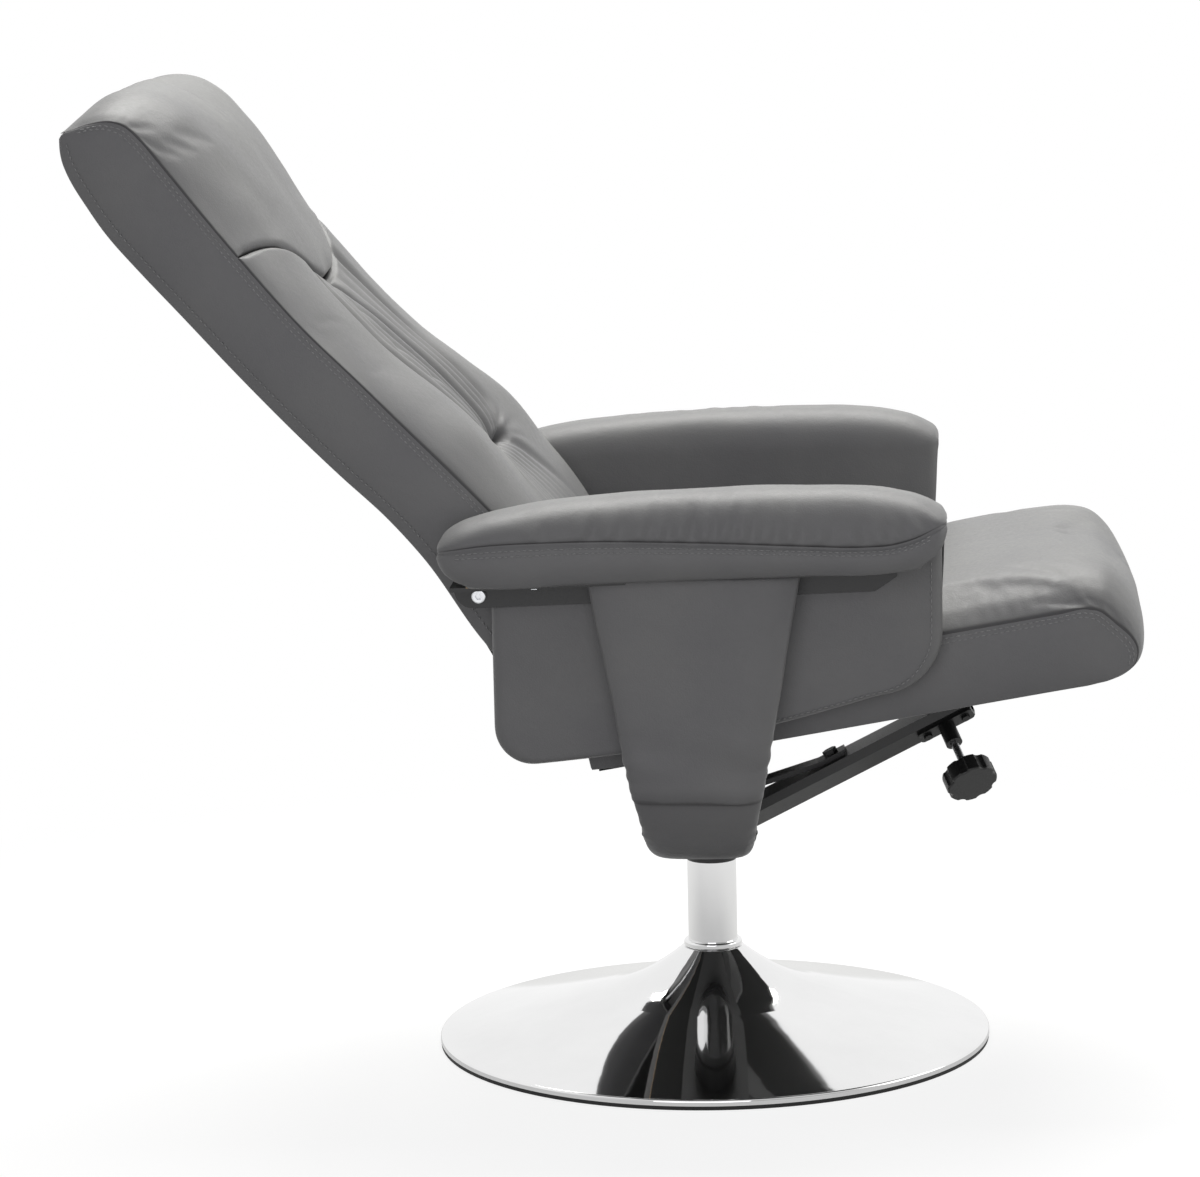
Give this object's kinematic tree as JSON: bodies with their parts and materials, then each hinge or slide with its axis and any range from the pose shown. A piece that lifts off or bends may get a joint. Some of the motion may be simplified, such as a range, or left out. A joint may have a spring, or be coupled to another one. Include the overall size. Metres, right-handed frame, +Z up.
{
  "type": "reclining swivel armchair",
  "caption": "Padded swivel armchair on a chrome trumpet base: the back leans, the seat glides forward with it, and a hand knob under the seat clamps both.",
  "frame": {"origin": "on the floor at the swivel axis", "axes": "+X forward, the way a sitter faces; +Y to the sitter's left; +Z up"},
  "size_m": [1.0311, 0.6982, 0.9782],
  "materials": {
    "upholstery": "satin",
    "black_steel": "satin",
    "black_bolts": "satin",
    "zinc_steel": "satin",
    "chrome": "polished",
    "rubber": "matte",
    "nylon": "matte",
    "knob_plastic": "satin",
    "plywood": "matte",
    "dust_cloth": "matte"
  },
  "bodies": {
    "base": {"base_dish": "chrome", "rim_ring": "rubber", "floor_plate": "black_steel", "column_foot": "black_steel", "foot_bolts": "zinc_steel", "column_tube": "chrome", "neck_collar": "chrome", "column_bushes": "nylon", "thrust_ring": "nylon"},
    "swivel": {"spindle": "zinc_steel", "spindle_nut": "zinc_steel", "hub": "black_steel", "yoke_strap": "black_steel", "hub_bolts": "zinc_steel", "right_leg_core": "black_steel", "left_leg_core": "black_steel", "strap_bolts": "zinc_steel", "right_leg_cover": "upholstery", "left_leg_cover": "upholstery", "right_arm_rail": "black_steel", "left_arm_rail": "black_steel", "rail_screws": "zinc_steel", "right_arm_board": "plywood", "left_arm_board": "plywood", "right_arm_pad": "upholstery", "left_arm_pad": "upholstery", "right_side_panel": "upholstery", "left_side_panel": "upholstery", "pivot_bolts": "zinc_steel", "pivot_spacers": "zinc_steel", "pivot_nuts": "zinc_steel", "front_bar": "black_steel", "brace_strut": "black_steel", "brace_bolts": "black_bolts", "slide_saddle": "black_steel", "knob_boss": "black_steel", "boss_bolts": "black_bolts"},
    "backrest": {"back_board": "plywood", "right_back_lug": "black_steel", "left_back_lug": "black_steel", "lug_screws": "zinc_steel", "pivot_bushes": "nylon", "back_cushion": "upholstery", "head_pillow": "upholstery", "back_rear": "upholstery"},
    "seat": {"seat_board": "plywood", "seat_dust_cover": "dust_cloth", "seat_slide": "zinc_steel", "slide_screws": "zinc_steel", "right_seat_bracket": "black_steel", "left_seat_bracket": "black_steel", "bracket_screws": "zinc_steel", "link_rod": "zinc_steel", "rod_clips": "zinc_steel", "seat_cushion": "upholstery"},
    "thrust_pad": {"thrust_pad": "nylon"},
    "knob": {"clamp_screw": "zinc_steel", "knob": "knob_plastic", "knob_cap": "knob_plastic"},
    "clamp_shoe": {"clamp_shoe": "zinc_steel"}
  },
  "joints": [
    {"name": "swivel_turn", "type": "hinge", "parent": "base", "child": "swivel", "pos_m": [0, 0, 0.19], "axis": [0, 0, 1], "continuous": true},
    {"name": "recline", "type": "hinge", "parent": "swivel", "child": "backrest", "pos_m": [-0.20403, 0, 0.50608], "axis": [0, 1, 0], "range_deg": [0, 24]},
    {"name": "seat_glide", "type": "slide", "parent": "swivel", "child": "seat", "axis": [0.986, 0, 0.1668], "range_m": [-0.0545, 0]},
    {"name": "screw_advance", "type": "slide", "parent": "swivel", "child": "thrust_pad", "axis": [0.321, -0.7071, -0.6301], "range_m": [0, 0.00125]},
    {"name": "knob_turn", "type": "hinge", "parent": "thrust_pad", "child": "knob", "pos_m": [0.23807, -0.02, 0.3262], "axis": [0.321, -0.7071, -0.6301], "range_deg": [0, 360]},
    {"name": "shoe_drop", "type": "slide", "parent": "swivel", "child": "clamp_shoe", "axis": [0.1668, 0, -0.986], "range_m": [0, 0.0019]}
  ],
  "couplings": [
    {"joint": "seat_glide", "follows": "recline", "m_per_rad": -0.12905},
    {"joint": "knob_turn", "follows": "screw_advance", "rad_per_m": 5026.5},
    {"joint": "shoe_drop", "follows": "screw_advance", "ratio": 1.482}
  ]
}
